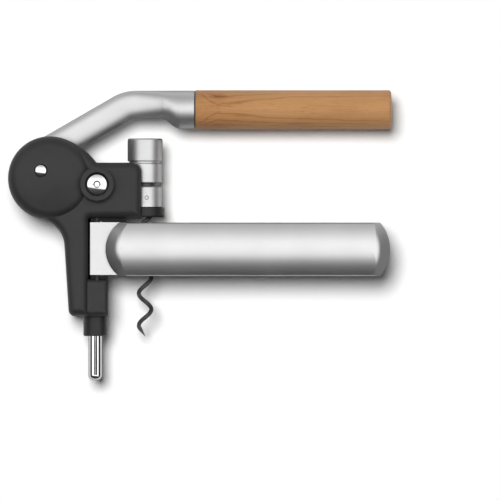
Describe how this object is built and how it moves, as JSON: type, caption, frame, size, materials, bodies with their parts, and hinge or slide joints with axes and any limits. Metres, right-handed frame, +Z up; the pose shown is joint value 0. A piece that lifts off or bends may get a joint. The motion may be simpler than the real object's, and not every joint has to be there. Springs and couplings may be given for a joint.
{
  "type": "lever corkscrew",
  "caption": "Lever corkscrew with a geared lever, an oak grip, a rising wire worm on a guide rod, and a pair of hinged clamp handles for the bottle neck.",
  "frame": {"origin": "centre of the bounding box's base, with the tool lying on its side on a table", "axes": "+X along the clamp handles towards their free ends, +Y up the worm towards its cap, +Z up"},
  "size_m": [0.192, 0.145, 0.04],
  "materials": {
    "frame_plastic": "matte charcoal",
    "black_plastic": "matte black",
    "satin_metal": "satin, fine blasted",
    "drum_metal": "satin",
    "polished_chrome": "polished",
    "steel": "plain",
    "bronze": "sintered",
    "worm_coat": "low-friction coat",
    "oak": "oiled",
    "pad_rubber": "matte"
  },
  "bodies": {
    "frame": {"frame_front": "frame_plastic", "frame_rear": "frame_plastic", "frame_screws": "steel", "pivot_pin": "polished_chrome", "roller_studs": "polished_chrome", "guide_bush": "black_plastic", "nut_housing": "drum_metal", "worm_nut": "black_plastic", "nut_set_screw": "steel", "nut_flange": "black_plastic", "hinge_pins": "steel", "hinge_washers": "black_plastic"},
    "lever": {"lever_arm": "satin_metal", "gear_sector": "steel", "sector_rivets": "steel", "pivot_bushes": "bronze", "grip_tang": "steel", "grip_spacer": "black_plastic", "wood_grip": "oak"},
    "carriage": {"rack_bar": "steel", "carriage_arm": "steel", "guide_rod": "polished_chrome", "carriage_body": "drum_metal", "carriage_cap": "drum_metal", "thrust_washer": "steel"},
    "worm": {"worm": "worm_coat", "worm_head": "steel"},
    "rollers": {"backing_rollers": "steel"},
    "clamp_front": {"clamp_handle_front": "satin_metal", "jaw_pad_front": "pad_rubber"},
    "clamp_rear": {"clamp_handle_rear": "satin_metal", "jaw_pad_rear": "pad_rubber"}
  },
  "joints": [
    {"name": "lever_swing", "type": "hinge", "parent": "frame", "child": "lever", "pos_m": [-0.0795, 0.0322, 0.02], "axis": [0, 0, 1], "range_deg": [0, 160]},
    {"name": "carriage_lift", "type": "slide", "parent": "frame", "child": "carriage", "axis": [0, 1, 0], "range_m": [0, 0.0434]},
    {"name": "worm_spin", "type": "hinge", "parent": "carriage", "child": "worm", "pos_m": [-0.0276, 0, 0.02], "axis": [0, 1, 0], "range_deg": [0, 976]},
    {"name": "roller_spin", "type": "hinge", "parent": "frame", "child": "rollers", "pos_m": [-0.0515, 0.0254, 0.02], "axis": [0, 0, 1], "range_deg": [-382, 0]},
    {"name": "clamp_front_swing", "type": "hinge", "parent": "frame", "child": "clamp_front", "pos_m": [-0.05155, -0.007, 0.0302], "axis": [0, -1, 0], "range_deg": [0, 30]},
    {"name": "clamp_rear_swing", "type": "hinge", "parent": "frame", "child": "clamp_rear", "pos_m": [-0.05155, -0.007, 0.0098], "axis": [0, 1, 0], "range_deg": [0, 30]}
  ],
  "couplings": [
    {"joint": "carriage_lift", "follows": "lever_swing", "m_per_rad": 0.0155},
    {"joint": "worm_spin", "follows": "lever_swing", "ratio": 6.0868},
    {"joint": "roller_spin", "follows": "lever_swing", "ratio": -2.3846}
  ]
}
